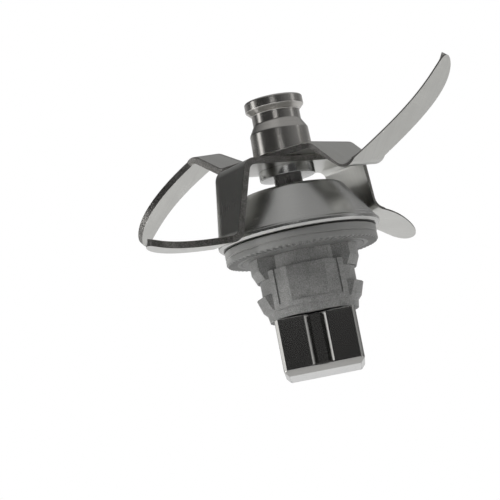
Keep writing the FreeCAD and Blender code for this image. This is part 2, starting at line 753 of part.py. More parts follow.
def build_all():
    """Every sub-part, from the foot up."""
    lower_top = LOWER_BEARING + s.bearing_height
    ring_foot = LOWER_BEARING - s.wave_height - s.wave_play - s.ring_height
    wave_foot = LOWER_BEARING - s.wave_height
    parts = [
        drive_coupling(), drive_shaft(), bearing_housing(),
        ring("retaining_ring", s.ring_inner, s.bearing_radius + s.ring_groove, ring_foot,
             ring_foot + s.ring_height),
        ring("wave_washer", s.wave_inner, s.bearing_radius, wave_foot, LOWER_BEARING),
        ring("lower_sleeve", s.shaft_radius, s.sleeve_radius, s.coupling_height, LOWER_BEARING),
        ring("middle_sleeve", s.shaft_radius, s.sleeve_radius, lower_top, UPPER_BEARING),
        ring("knurled_collar", s.spigot_radius, s.collar_ring_radius, COLLAR_FOOT, SPACER_FOOT),
        seal_ring(), shaft_seal(), cone_cover(), cover_oring(),
        hub_spacer(),
        blade_strip("lower_blade", ("back", "front"), s.lower_hub_width, LOWER_STRIP, s.lower_azimuth.value),
        blade_strip("upper_blade", ("right", "left"), s.upper_hub_width, UPPER_STRIP, s.upper_azimuth.value),
        cap_nut(),
    ]
    for place, foot in (("lower", LOWER_BEARING), ("upper", UPPER_BEARING)):
        parts += bearing_rings(place, foot) + ball_set(place, foot)
    return parts


def check(parts):
    """Stops the script if an object failed or a sub-part has no sound shape."""
    for item in doc.Objects:
        if "Invalid" in item.State or "Error" in item.State:
            raise SystemExit(f"{item.Name} failed: {item.State}")
    for part in parts:
        if part.Shape.isNull() or not part.Shape.isValid():
            raise SystemExit(f"{part.Label} has no sound shape")


def main():
    parts = build_all()
    doc.recompute()
    check(parts)
    os.makedirs("parts", exist_ok=True)
    for part in parts:
        part.Shape.exportStep(f"parts/{part.Label}.step")
        box = part.Shape.BoundBox
        print(f"{part.Label:16s} solids {len(part.Shape.Solids):2d} volume {part.Shape.Volume:9.1f} "
              f"z {box.ZMin:6.2f} {box.ZMax:6.2f}")


main()
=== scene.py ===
"""Studio scene of the blender blade unit: finer meshes and procedural finishes over the CAD frame."""

import json
import logging
import math
from dataclasses import dataclass
from enum import Enum
from typing import Callable, Optional, Sequence, Union

import bmesh
import bpy
from mathutils import Matrix, Vector

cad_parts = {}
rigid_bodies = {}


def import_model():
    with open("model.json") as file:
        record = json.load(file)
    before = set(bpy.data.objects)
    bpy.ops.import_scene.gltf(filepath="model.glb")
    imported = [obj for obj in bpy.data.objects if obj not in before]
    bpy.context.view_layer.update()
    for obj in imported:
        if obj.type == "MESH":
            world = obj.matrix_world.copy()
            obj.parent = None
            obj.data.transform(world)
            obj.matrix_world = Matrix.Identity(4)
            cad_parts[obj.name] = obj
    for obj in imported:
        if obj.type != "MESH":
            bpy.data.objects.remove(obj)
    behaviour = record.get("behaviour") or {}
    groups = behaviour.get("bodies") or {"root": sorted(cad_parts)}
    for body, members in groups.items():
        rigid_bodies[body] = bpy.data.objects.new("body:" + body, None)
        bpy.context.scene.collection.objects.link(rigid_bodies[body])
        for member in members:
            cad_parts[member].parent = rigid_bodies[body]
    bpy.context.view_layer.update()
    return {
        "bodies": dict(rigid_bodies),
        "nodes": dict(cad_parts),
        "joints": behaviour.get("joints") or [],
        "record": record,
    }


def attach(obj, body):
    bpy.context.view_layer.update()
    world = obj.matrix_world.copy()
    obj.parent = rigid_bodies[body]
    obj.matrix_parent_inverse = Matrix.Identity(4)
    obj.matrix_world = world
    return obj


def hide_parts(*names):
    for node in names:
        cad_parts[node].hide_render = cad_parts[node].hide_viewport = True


LOG = logging.getLogger("blade_unit")
MM = 0.001
Value = Union[float, bpy.types.NodeSocket]
Color = Sequence[float]

# Heights above the coupling's foot, in millimetres
COUPLING_TOP = 18.1
SEAL_FOOT, SEAL_TOP = 38.6, 43.3
COVER_FOOT, COVER_TOP = 43.7, 59.2
COLLAR_FOOT, COLLAR_TOP = 56.1, 63.6
LOWER_SHEET, UPPER_SHEET = 66.7, 68.9
CAP_FOOT, CAP_TOP = 71.1, 89.4

# Radius of the bore of what sits on the shaft's spigot, in millimetres
SPIGOT_BORE = 3.3


class Finish(Enum):
    """The finishes of the unit, named as the record's material slots."""

    BLADE = "blade_steel"
    CAP = "cap_steel"
    COVER = "cover_steel"
    SPACER = "spacer_steel"
    COUPLING = "coupling_plating"
    SHAFT = "shaft_steel"
    BEARING = "bearing_steel"
    DARK = "dark_steel"
    CAST = "cast_alloy"
    SEAL = "seal_rubber"
    LIP = "lip_rubber"
    CAGE = "cage_plastic"


@dataclass(frozen=True)
class MetalLook:
    """What sets one metal finish apart from another.

    Attributes:
        color: Base colour, linear.
        shade: How much darker the darkest streaks are, from 0 to 1.
        roughness: Lowest and highest roughness.
        anisotropy: Stretch of the highlights across the lines.
        bump: Depth of the lines in metres.
        scale: Lines per metre for the line pattern.
    """

    color: tuple[float, float, float]
    shade: float
    roughness: tuple[float, float]
    anisotropy: float
    bump: float
    scale: float


# Colour, shade, roughness, anisotropy, bump and scale of each metal
METALS = {
    Finish.BLADE: MetalLook((0.66, 0.657, 0.63), 0.30, (0.22, 0.36), 0.0, 0.000002, 1100.0),
    Finish.CAP: MetalLook((0.66, 0.64, 0.61), 0.25, (0.14, 0.28), 0.6, 0.000008, 2600.0),
    Finish.COVER: MetalLook((0.60, 0.60, 0.585), 0.18, (0.20, 0.32), 0.65, 0.000008, 2200.0),
    Finish.SPACER: MetalLook((0.55, 0.55, 0.54), 0.20, (0.14, 0.26), 0.45, 0.000008, 2400.0),
    Finish.COUPLING: MetalLook((0.44, 0.435, 0.42), 0.16, (0.08, 0.18), 0.0, 0.000003, 1500.0),
    Finish.SHAFT: MetalLook((0.60, 0.60, 0.60), 0.10, (0.12, 0.22), 0.4, 0.000004, 2400.0),
    Finish.BEARING: MetalLook((0.68, 0.68, 0.69), 0.06, (0.08, 0.14), 0.3, 0.000003, 2400.0),
    Finish.DARK: MetalLook((0.20, 0.195, 0.19), 0.45, (0.18, 0.34), 0.0, 0.000012, 2400.0),
}


class Graph:
    """Short way to build a node tree.

    Args:
        tree: The node tree to fill.
    """

    def __init__(self, tree: bpy.types.NodeTree) -> None:
        self.tree = tree

    def add(self, kind: str, /, inputs: Optional[dict] = None, **settings) -> bpy.types.Node:
        """Adds a node.

        Args:
            kind: The node's Blender type name.
            inputs: Socket name or index to a value or to an output socket.
            **settings: The node's own properties.

        Returns:
            The new node.
        """
        node = self.tree.nodes.new(kind)
        for name, value in settings.items():
            setattr(node, name, value)
        for key, value in (inputs or {}).items():
            if isinstance(value, bpy.types.NodeSocket):
                self.tree.links.new(value, node.inputs[key])
            else:
                node.inputs[key].default_value = value
        return node

    def math(self, operation: str, first: Value, second: Value = 0.0) -> bpy.types.NodeSocket:
        """Adds a math node.

        Args:
            operation: The node's operation.
            first: A number or an output socket.
            second: The same, for an operation that takes two.

        Returns:
            The node's output.
        """
        return self.add("ShaderNodeMath", {0: first, 1: second}, operation=operation).outputs[0]

    def range(self, socket: bpy.types.NodeSocket, low: float, high: float,
              start: float = 0.0, end: float = 1.0) -> bpy.types.NodeSocket:
        """Maps a pattern to a range of values.

        Args:
            socket: The pattern.
            low: The value up to the start.
            high: The value from the end.
            start: Where the pattern begins to count.
            end: Where it counts in full.

        Returns:
            The mapped value.
        """
        return self.add("ShaderNodeMapRange", {0: socket, 1: start, 2: end, 3: low, 4: high}).outputs[0]

    def tint(self, socket: bpy.types.NodeSocket, dark: Color, light: Color) -> bpy.types.NodeSocket:
        """Mixes two colours by a pattern.

        Args:
            socket: The pattern.
            dark: The colour at 0.
            light: The colour at 1.

        Returns:
            The mixed colour.
        """
        mixed = self.add("ShaderNodeMix", {0: socket, 6: (*dark, 1.0), 7: (*light, 1.0)}, data_type="RGBA")
        return mixed.outputs[2]

    def bump(self, shader: bpy.types.Node, height: bpy.types.NodeSocket, strength: float,
             depth: float) -> None:
        """Bumps a surface by a pattern.

        Args:
            shader: The surface's shader.
            height: The pattern.
            strength: Strength of the bump, from 0 to 1.
            depth: Depth of the pattern in metres.
        """
        bump = self.add("ShaderNodeBump", {"Height": height, "Strength": strength, "Distance": depth})
        self.tree.links.new(bump.outputs[0], shader.inputs["Normal"])


class Patterns:
    """Node groups that the materials share."""

    def __init__(self) -> None:
        self.turned = self._turned()
        self.brushed = self._brushed()
        self.speckle = self._speckle()
        self.smudge = self._smudge()

    @staticmethod
    def _group(name: str, inputs: dict[str, float]) -> tuple[Graph, bpy.types.Node]:
        """Makes an empty group with float inputs and one output called Fac.

        Args:
            name: The group's name.
            inputs: The inputs' names and their defaults.

        Returns:
            The group's graph and its input node.
        """
        tree = bpy.data.node_groups.new(name, "ShaderNodeTree")
        for label, value in inputs.items():
            socket = tree.interface.new_socket(label, in_out="INPUT", socket_type="NodeSocketFloat")
            socket.default_value = value
        tree.interface.new_socket("Fac", in_out="OUTPUT", socket_type="NodeSocketFloat")
        graph = Graph(tree)
        return graph, graph.add("NodeGroupInput")

    @staticmethod
    def _close(graph: Graph, socket: bpy.types.NodeSocket) -> bpy.types.NodeTree:
        """Sends a socket to the group's output and returns the finished group."""
        graph.add("NodeGroupOutput", {0: socket})
        return graph.tree

    def _turned(self) -> bpy.types.NodeTree:
        """Fine rings round the shaft's axis, as a lathe tool leaves."""
        graph, given = self._group("turned_lines", {"Scale": 2000.0, "Wander": 0.15})
        place = graph.add("ShaderNodeTexCoord").outputs["Object"]
        part = graph.add("ShaderNodeSeparateXYZ", {0: place})
        radius = graph.math("SQRT", graph.math(
            "ADD", graph.math("MULTIPLY", part.outputs[0], part.outputs[0]),
            graph.math("MULTIPLY", part.outputs[1], part.outputs[1])))
        drift = graph.add("ShaderNodeTexNoise", {"Vector": place, "Scale": 60.0, "Detail": 2.0}).outputs[0]
        shift = graph.math("MULTIPLY", drift, graph.math("MULTIPLY", given.outputs["Wander"], MM))
        line = graph.add("ShaderNodeCombineXYZ", {
            0: graph.math("MULTIPLY", graph.math("ADD", radius, shift), given.outputs["Scale"]),
            2: graph.math("MULTIPLY", part.outputs[2], given.outputs["Scale"])}).outputs[0]
        noise = graph.add("ShaderNodeTexNoise", {
            "Vector": line, "Scale": 1.0, "Detail": 3.0, "Roughness": 0.7})
        return self._close(graph, noise.outputs[0])

    def _brushed(self) -> bpy.types.NodeTree:
        """Fine scratches along the sheet, read from its map of distances along and across."""
        graph, given = self._group("brushed_lines", {"Scale": 900.0, "Stretch": 0.03})
        sheet = graph.add("ShaderNodeUVMap", uv_map="sheet").outputs[0]
        part = graph.add("ShaderNodeSeparateXYZ", {0: sheet})
        along = graph.math("MULTIPLY", given.outputs["Scale"], given.outputs["Stretch"])
        line = graph.add("ShaderNodeCombineXYZ", {
            0: graph.math("MULTIPLY", part.outputs[0], along),
            1: graph.math("MULTIPLY", part.outputs[1], given.outputs["Scale"])}).outputs[0]
        noise = graph.add("ShaderNodeTexNoise", {
            "Vector": line, "Scale": 1.0, "Detail": 4.0, "Roughness": 0.65})
        return self._close(graph, noise.outputs[0])

    def _speckle(self) -> bpy.types.NodeTree:
        """Grain of a casting: fine pits over a slower mottling."""
        graph, given = self._group("cast_speckle", {"Scale": 3000.0, "Mottle": 0.22})
        place = graph.add("ShaderNodeTexCoord").outputs["Object"]
        fine = graph.add("ShaderNodeTexNoise", {
            "Vector": place, "Scale": given.outputs["Scale"], "Detail": 3.0, "Roughness": 0.6}).outputs[0]
        slow = graph.add("ShaderNodeTexNoise", {"Vector": place, "Scale": 380.0, "Detail": 3.0}).outputs[0]
        mixed = graph.add("ShaderNodeMix", {0: given.outputs["Mottle"], 2: fine, 3: slow},
                          data_type="FLOAT")
        return self._close(graph, mixed.outputs[0])

    def _smudge(self) -> bpy.types.NodeTree:
        """Broad, faint handling marks."""
        graph, given = self._group("smudges", {"Scale": 70.0, "Contrast": 1.0})
        place = graph.add("ShaderNodeTexCoord").outputs["Object"]
        noise = graph.add("ShaderNodeTexNoise", {
            "Vector": place, "Scale": given.outputs["Scale"], "Detail": 4.0, "Distortion": 0.6}).outputs[0]
        centred = graph.math("SUBTRACT", noise, 0.5)
        swing = graph.math("MULTIPLY", centred, given.outputs["Contrast"])
        return self._close(graph, graph.math("ADD", swing, 0.5))


class Materials:
    """Builds each finish once and hands it out by slot."""

    # Share of the smudges in a metal's streaks, and strength of its lines
    SMUDGE_SHARE = 0.45
    LINE_STRENGTH = 0.6

    # Cut edges of the sheets: spread of the grain, dark and light colour, roughness; the colours are painted
    # shade, far darker than the faces, over the grain
    EDGE_SPREAD = (-0.6, 1.5)
    EDGE_SHADE_COLORS = ((0.05, 0.048, 0.045), (0.42, 0.41, 0.39))
    EDGE_ROUGHNESS = 0.42

    # Casting: spread of the grain, colours, metallic part, roughness, strength and depth of the pits
    CAST_SPREAD = (-0.35, 1.35)
    CAST_COLORS = ((0.05, 0.05, 0.049), (0.36, 0.36, 0.35))
    CAST_METALLIC = 0.2
    CAST_ROUGHNESS = (0.62, 0.42)
    CAST_BUMP = (0.55, 0.00012)

    # Rubber: how much lighter and rougher or smoother the bloom is, strength and depth of the grain
    BLOOM = 1.25
    BLOOM_ROUGHNESS = (0.08, -0.06)
    RUBBER_BUMP = (0.25, 0.00003)

    def __init__(self) -> None:
        self.patterns = Patterns()
        self.made: dict[Finish, bpy.types.Material] = {}
        for finish, look in METALS.items():
            lines = self.patterns.brushed if finish is Finish.BLADE else self.patterns.turned
            self.made[finish] = self._metal(finish, look, lines)
        self.made[Finish.CAST] = self._casting()
        self.made[Finish.SEAL] = self._rubber(Finish.SEAL, (0.165, 0.165, 0.160), 0.46)
        self.made[Finish.LIP] = self._rubber(Finish.LIP, (0.014, 0.014, 0.014), 0.5)
        self.made[Finish.CAGE] = self._rubber(Finish.CAGE, (0.05, 0.04, 0.03), 0.42)

    @staticmethod
    def _new(name: str) -> tuple[bpy.types.Material, Graph, bpy.types.Node]:
        """Makes a material with a bare Principled shader; returns it with its graph and shader."""
        material = bpy.data.materials.new(name)
        material.use_nodes = True
        material.node_tree.nodes.clear()
        graph = Graph(material.node_tree)
        shader = graph.add("ShaderNodeBsdfPrincipled")
        graph.add("ShaderNodeOutputMaterial", {"Surface": shader.outputs[0]})
        return material, graph, shader

    def _metal(self, finish: Finish, look: MetalLook, lines: bpy.types.NodeTree) -> bpy.types.Material:
        """A worked metal: lines in its colour, roughness and bump, and broad smudges over them.

        Args:
            finish: The slot's name.
            look: The numbers of this finish.
            lines: The node group of its working marks.

        Returns:
            The material.
        """
        material, graph, shader = self._new(finish.value)
        marks = graph.add("ShaderNodeGroup", node_tree=lines)
        marks.inputs["Scale"].default_value = look.scale
        smudge = graph.add("ShaderNodeGroup", node_tree=self.patterns.smudge)
        blend = graph.add("ShaderNodeMix", {0: self.SMUDGE_SHARE, 2: marks.outputs[0], 3: smudge.outputs[0]},
                          data_type="FLOAT").outputs[0]
        dark = [value * (1 - look.shade) for value in look.color]
        color = graph.tint(blend, dark, look.color)
        roughness = graph.range(blend, look.roughness[1], look.roughness[0])
        # Painted shade with a speckled grain on the cut edges of the blade's sheets
        if finish is Finish.BLADE:
            color, roughness = self._edge_shade_and_grain(graph, color, roughness)
        graph.tree.links.new(color, shader.inputs["Base Color"])
        shader.inputs["Metallic"].default_value = 1.0
        graph.tree.links.new(roughness, shader.inputs["Roughness"])
        graph.bump(shader, marks.outputs[0], self.LINE_STRENGTH, look.bump)
        if look.anisotropy:
            shader.inputs["Anisotropic"].default_value = look.anisotropy
            tangent = graph.add("ShaderNodeTangent", direction_type="RADIAL", axis="Z")
            graph.tree.links.new(tangent.outputs[0], shader.inputs["Tangent"])
        return material

    def _edge_shade_and_grain(self, graph: Graph, color: bpy.types.NodeSocket,
                roughness: bpy.types.NodeSocket) -> tuple[bpy.types.NodeSocket, bpy.types.NodeSocket]:
        """Paints shade on a sheet's cut edges, which the mesh marks, and roughens them.

        Args:
            graph: The material's graph.
            color: The colour of the faces.
            roughness: The roughness of the faces.

        Returns:
            The colour and the roughness with the edges in them.
        """
        edge = graph.add("ShaderNodeAttribute", attribute_name="ground").outputs["Fac"]
        grain = graph.add("ShaderNodeGroup", node_tree=self.patterns.speckle).outputs[0]
        # Painted shade: the cut edges get a dark colour, speckled by the grain
        cut = graph.tint(graph.range(grain, *self.EDGE_SPREAD), *self.EDGE_SHADE_COLORS)
        mixed = graph.add("ShaderNodeMix", {0: edge, 6: color, 7: cut}, data_type="RGBA").outputs[2]
        rough = graph.add("ShaderNodeMix", {0: edge, 2: roughness, 3: self.EDGE_ROUGHNESS},
                          data_type="FLOAT").outputs[0]
        return mixed, rough

    def _casting(self) -> bpy.types.Material:
        """Dark die-cast alloy with a fine speckled grain.

        Returns:
            The material.
        """
        material, graph, shader = self._new(Finish.CAST.value)
        grain = graph.add("ShaderNodeGroup", node_tree=self.patterns.speckle).outputs[0]
        color = graph.tint(graph.range(grain, *self.CAST_SPREAD), *self.CAST_COLORS)
        graph.tree.links.new(color, shader.inputs["Base Color"])
        shader.inputs["Metallic"].default_value = self.CAST_METALLIC
        graph.tree.links.new(graph.range(grain, *self.CAST_ROUGHNESS), shader.inputs["Roughness"])
        graph.bump(shader, grain, *self.CAST_BUMP)
        return material

    def _rubber(self, finish: Finish, color: Color, roughness: float) -> bpy.types.Material:
        """Moulded rubber or plastic with a faint bloom.

        Args:
            finish: The slot's name.
            color: Colour where there is no bloom, linear.
            roughness: Roughness about which the bloom varies.

        Returns:
            The material.
        """
        material, graph, shader = self._new(finish.value)
        smudge = graph.add("ShaderNodeGroup", node_tree=self.patterns.smudge).outputs[0]
        grain = graph.add("ShaderNodeGroup", node_tree=self.patterns.speckle).outputs[0]
        light = [value * self.BLOOM for value in color]
        rougher, smoother = self.BLOOM_ROUGHNESS
        graph.tree.links.new(graph.tint(smudge, color, light), shader.inputs["Base Color"])
        graph.tree.links.new(graph.range(smudge, roughness + rougher, roughness + smoother),
                             shader.inputs["Roughness"])
        graph.bump(shader, grain, *self.RUBBER_BUMP)
        return material

    def get(self, finish: Finish) -> bpy.types.Material:
        """The material of a finish."""
        return self.made[finish]


@dataclass
class Corner:
    """A corner of a turned profile, in millimetres.

    Attributes:
        radius: Distance from the axis.
        height: Height above the foot.
        blend: Radius of the rounding at the corner.
    """

    radius: float
    height: float
    blend: float = 0.0

    @property
    def point(self) -> Vector:
        """The corner as a flat vector."""
        return Vector((self.radius, self.height))


def rounded(corners: Sequence[Corner], steps: int = 6) -> list[Vector]:
    """Replaces each rounded corner of a closed profile by an arc.

    Args:
        corners: The profile's corners in order.
        steps: Points along each arc.

    Returns:
        The profile's points.
    """
    points: list[Vector] = []
    count = len(corners)
    for index, corner in enumerate(corners):
        here = corner.point
        if corner.blend <= 0:
            points.append(here)
            continue
        before = (corners[index - 1].point - here).normalized()
        after = (corners[(index + 1) % count].point - here).normalized()
        half = before.angle(after) / 2
        reach = corner.blend / math.tan(half)
        centre = here + (before + after).normalized() * (corner.blend / math.sin(half))
        start, end = here + before * reach, here + after * reach
        first, last = start - centre, end - centre
        sweep = first.angle_signed(last)
        for step in range(steps + 1):
            turn = Matrix.Rotation(-sweep * step / steps, 2)
            points.append(centre + turn @ first)
    return points


class Piece:
    """A mesh piece of the unit that stands in for CAD nodes."""

    SHARP = math.radians(28)

    def __init__(self, name: str, mesh: bmesh.types.BMesh, body: str, nodes: Sequence[str], finish: Finish,
                 material: bpy.types.Material) -> None:
        """Turns a bmesh into a scene object and ties it to its body.

        Args:
            name: The piece's name.
            mesh: Its geometry in metres; it is freed here.
            body: The CAD body that it rides on.
            nodes: The CAD nodes that it replaces.
            finish: The slot of its finish; not used here.
            material: The finish.
        """
        bmesh.ops.recalc_face_normals(mesh, faces=mesh.faces)
        for face in mesh.faces:
            face.smooth = True
        for edge in mesh.edges:
            if len(edge.link_faces) == 2:
                edge.smooth = edge.calc_face_angle(0.0) < self.SHARP
        data = bpy.data.meshes.new(name)
        mesh.to_mesh(data)
        mesh.free()
        data.materials.append(material)
        self.object = bpy.data.objects.new(name, data)
        bpy.context.scene.collection.objects.link(self.object)
        flat = self.object.modifiers.new("flat_faces", "WEIGHTED_NORMAL")
        flat.weight = 100
        flat.keep_sharp = True
        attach(self.object, body)
        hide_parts(*nodes)
        LOG.info("%s: %d faces", name, len(data.polygons))


def lathe(points: Sequence[Vector], segments: int = 160,
          shape: Optional[Callable[[float, Vector], Vector]] = None) -> bmesh.types.BMesh:
    """Turns a closed profile about the shaft's axis.

    Args:
        points: The profile in millimetres, radius and height.
        segments: Steps round the axis.
        shape: Changes a profile point by its angle, for teeth and knurls.

    Returns:
        The mesh in metres.
    """
    mesh = bmesh.new()
    rings = []
    for step in range(segments):
        angle = math.tau * step / segments
        ring = []
        for point in points:
            here = shape(angle, point) if shape else point
            ring.append(mesh.verts.new((here.x * math.cos(angle) * MM, here.x * math.sin(angle) * MM,
                                        here.y * MM)))
        rings.append(ring)
    for step, ring in enumerate(rings):
        other = rings[(step + 1) % segments]
        for index in range(len(points)):
            follow = (index + 1) % len(points)
            corners = (ring[index], other[index], other[follow], ring[follow])
            mesh.faces.new(corners)
    bmesh.ops.remove_doubles(mesh, verts=mesh.verts, dist=1e-6)
    bmesh.ops.dissolve_degenerate(mesh, edges=mesh.edges, dist=1e-7)
    return mesh


@dataclass(frozen=True)
class Wing:
    """One wing of a folded strip, in millimetres and degrees.

    Attributes:
        root: Distance from the axis to the first fold.
        arm: Length between the folds.
        leaf: Length from the second fold to the tip.
        arm_rise: Slope of the arm.
        leaf_rise: Slope of the leaf.
        root_skew: How far the first fold line is out of square.
        leaf_skew: The same for the second.
        arm_width: Width at the second fold.
        offset: Sideways place of the middle line there.
        sweep: First-order bend of the leaf's middle line.
        curl: Second-order bend.
        hook: Third-order bend.
        taper: First-order change of the width.
        swell: Second-order change.
    """

    root: float
    arm: float
    leaf: float
    arm_rise: float
    leaf_rise: float
    root_skew: float
    leaf_skew: float
    arm_width: float
    offset: float
    sweep: float
    curl: float
    hook: float
    taper: float
    swell: float


@dataclass(frozen=True)
class Strip:
    """A blade strip with its two wings, in millimetres and degrees.

    Attributes:
        name: The piece's name.
        azimuth: Direction of the first wing; the second runs the other way.
        hub_width: Width at the hub.
        foot: Height of the underside at the hub.
        wings: The two wings.
        sheet: Thickness.
        fold_radius: Radius of the folds at the middle of the sheet.
        bevel: Width of the bevel that grinding leaves along the cutting edge.
        land: Thickness left at the cutting edge.
        edge_break: Size of the break along the other edges.
    """

    name: str
    azimuth: float
    hub_width: float
    foot: float
    wings: tuple[Wing, Wing]
    sheet: float = 2.2
    fold_radius: float = 3.4
    bevel: float = 3.6
    land: float = 0.5
    edge_break: float = 0.25


UPPER = Strip("upper_strip", -32.0, 18.6, UPPER_SHEET, (
    Wing(root=17.7, arm=14.0, leaf=39.7, arm_rise=-46.5, leaf_rise=51.3, root_skew=10.7, leaf_skew=5.0,
         arm_width=16.0, offset=0.0, sweep=41.4, curl=-8.5, hook=-11.5, taper=-0.24, swell=-0.16),
    Wing(root=16.7, arm=15.2, leaf=35.3, arm_rise=34.6, leaf_rise=-37.8, root_skew=13.3, leaf_skew=0.6,
         arm_width=15.8, offset=-1.0, sweep=32.0, curl=-20.9, hook=-2.8, taper=-0.57, swell=0.08)))
LOWER = Strip("lower_strip", 36.0, 19.1, LOWER_SHEET, (
    Wing(root=23.0, arm=17.8, leaf=31.4, arm_rise=-83.4, leaf_rise=-9.4, root_skew=-5.2, leaf_skew=-2.9,
         arm_width=16.6, offset=0.1, sweep=1.4, curl=22.0, hook=-9.5, taper=-0.44, swell=0.14),
    Wing(root=20.7, arm=24.8, leaf=29.4, arm_rise=-73.1, leaf_rise=4.3, root_skew=1.1, leaf_skew=4.2,
         arm_width=13.2, offset=1.1, sweep=-39.2, curl=47.2, hook=-9.6, taper=-0.69, swell=0.16)))


class Fold:
    """A fold of the sheet about a line, past which it curls through an angle."""

    def __init__(self, start: float, skew: float, angle: float, radius: float) -> None:
        """Places the fold on the blank.

        Args:
            start: Where the curl begins on the middle line, in millimetres.
            skew: How far the fold line is out of square, in degrees.
            angle: How far the sheet curls, in degrees, up if positive.
            radius: Radius of the curl in millimetres.
        """
        slope = math.tan(math.radians(skew))
        scale = math.hypot(1.0, slope)
        self.origin = Vector((start, 0, 0))
        self.across = Vector((1 / scale, -slope / scale, 0))
        self.line = Vector((slope / scale, 1 / scale, 0))
        self.radius = math.copysign(radius, angle)
        self.arc = abs(math.radians(angle)) * radius

    def applied(self, point: Vector) -> Vector:
        """Where this fold takes a point."""
        offset = point - self.origin
        run, side = offset.dot(self.across), offset.dot(self.line)
        if run <= 0:
            return point
        turned = min(run, self.arc) / self.radius
        past = max(run - self.arc, 0.0)
        lever = self.radius - offset.z
        ahead = lever * math.sin(turned) + past * math.cos(turned)
        rise = self.radius - lever * math.cos(turned) + past * math.sin(turned)
        return self.origin + self.across * ahead + self.line * side + Vector((0, 0, rise))


class WingSheet:
    """Lays out one wing flat and folds it."""

    # Steps from the hub to the first fold, across a fold, along the arm and along the leaf
    HUB_STEPS, FOLD_STEPS, ARM_STEPS, LEAF_STEPS = 10, 12, 10, 48
    # Share of the leaf at which the last section lies, just short of the tip
    TIP_SHARE = 0.999
    # Share of the bevel that has grown at the first fold and at the second
    FIRST_GROWTH, SECOND_GROWTH = 0.25, 0.75
    # Steps across the upper and the lower face of a section
    TOP_STEPS, UNDER_STEPS = 6, 8
    # Largest shares of the width that the edge break and the bevel may take
    BREAK_SHARE, BEVEL_SHARE = 0.2, 0.45

    def __init__(self, strip: Strip, wing: Wing, azimuth: float) -> None:
        """Works out where the folds lie on the blank.

        Args:
            strip: The strip that the wing belongs to.
            wing: The wing.
            azimuth: Its direction about the shaft in degrees.
        """
        self.strip, self.wing = strip, wing
        self.turn = Matrix.Rotation(math.radians(azimuth), 3, "Z")
        second = wing.leaf_rise - wing.arm_rise
        radius = strip.fold_radius
        first_back = radius * math.tan(math.radians(abs(wing.arm_rise)) / 2)
        self.second_back = radius * math.tan(math.radians(abs(second)) / 2)
        self.first_start = wing.root - first_back
        self.first_end = self.first_start + radius * math.radians(abs(wing.arm_rise))
        self.second_start = self.first_end + wing.arm - first_back - self.second_back
        self.second_end = self.second_start + radius * math.radians(abs(second))
        self.folds = (Fold(self.first_start, wing.root_skew, wing.arm_rise, radius),
                      Fold(self.second_start, wing.leaf_skew, second, radius))

    def edges(self, along: float) -> tuple[float, float]:
        """Cutting edge and back edge of the blank at a distance along it.

        Args:
            along: Distance from the shaft's axis along the blank, in millimetres.

        Returns:
            The sideways place of either edge.
        """
        wing, hub = self.wing, self.strip.hub_width
        if along <= self.first_start:
            return -hub / 2, hub / 2
        if along <= self.second_end:
            share = (along - self.first_start) / (self.second_end - self.first_start)
            middle, half = wing.offset * share, (hub + (wing.arm_width - hub) * share) / 2
            return middle - half, middle + half
        part = (along - self.second_end) / (wing.leaf - self.second_back)
        middle = wing.offset + wing.sweep * part + wing.curl * part ** 2 + wing.hook * part ** 3
        half = wing.arm_width / 2 * (1 + wing.taper * part + wing.swell * part ** 2)
        half *= math.sqrt(max(1 - part ** 6, 0.0))
        return middle - half, middle + half

    def stations(self) -> list[tuple[float, float, float]]:
        """Where the sections lie, from the hub to the tip.

        Returns:
            For each section its distance along, its skew and the growth of the bevel there.
        """
        wing, rows = self.wing, []
        for step in range(self.HUB_STEPS):
            share = step / self.HUB_STEPS
            rows.append((self.first_start * share, wing.root_skew * share, 0.0))
        for start, end, skew, growth in (
                (self.first_start, self.first_end, wing.root_skew, self.FIRST_GROWTH),
                (self.second_start, self.second_end, wing.leaf_skew, self.SECOND_GROWTH)):
            lean = math.cos(math.radians(skew))
            for step in range(self.FOLD_STEPS + 1):
                rows.append((start + (end - start) * step / self.FOLD_STEPS / lean, skew, growth))
            if growth == self.FIRST_GROWTH:
                gap = self.second_start - self.first_end
                for step in range(1, self.ARM_STEPS):
                    share = step / self.ARM_STEPS
                    rows.append((self.first_end + gap * share,
                                 skew + (wing.leaf_skew - skew) * share,
                                 self.FIRST_GROWTH + (self.SECOND_GROWTH - self.FIRST_GROWTH) * share))
        length = wing.leaf - self.second_back
        for step in range(1, self.LEAF_STEPS + 1):
            share = math.sin(math.pi / 2 * step / self.LEAF_STEPS)
            rows.append((self.second_end + length * min(share, self.TIP_SHARE),
                         wing.leaf_skew * (1 - share), 1.0))
        return rows

    def section(self, along: float, skew: float, growth: float) -> list[tuple[Vector, float]]:
        """Corners of one section of the folded sheet.

        Args:
            along: Distance of the section along the blank, in millimetres.
            skew: How far it is out of square, in degrees.
            growth: Share of the bevel that has grown there.

        Returns:
            The corners, each with its distance across the sheet.
        """
        strip = self.strip
        cutting, back = self.edges(along)
        half, width = strip.sheet / 2, back - cutting
        broken = min(strip.edge_break, width * self.BREAK_SHARE)
        bevel = min(broken + strip.bevel * growth, width * self.BEVEL_SHARE)
        land = strip.land * growth + (strip.sheet - broken) * (1 - growth)
        slope = math.tan(math.radians(skew))
        inner = cutting + bevel
        flat = [(cutting, -half), (cutting, -half + land), (inner, half)]
        flat += [(inner + (back - broken - inner) * step / self.TOP_STEPS, half)
                 for step in range(1, self.TOP_STEPS)]
        flat += [(back - broken, half), (back, half - broken), (back, -half)]
        flat += [(back + (cutting - back) * step / self.UNDER_STEPS, -half)
                 for step in range(1, self.UNDER_STEPS)]
        return [(self.placed(Vector((along + side * slope, side, height))), side) for side, height in flat]

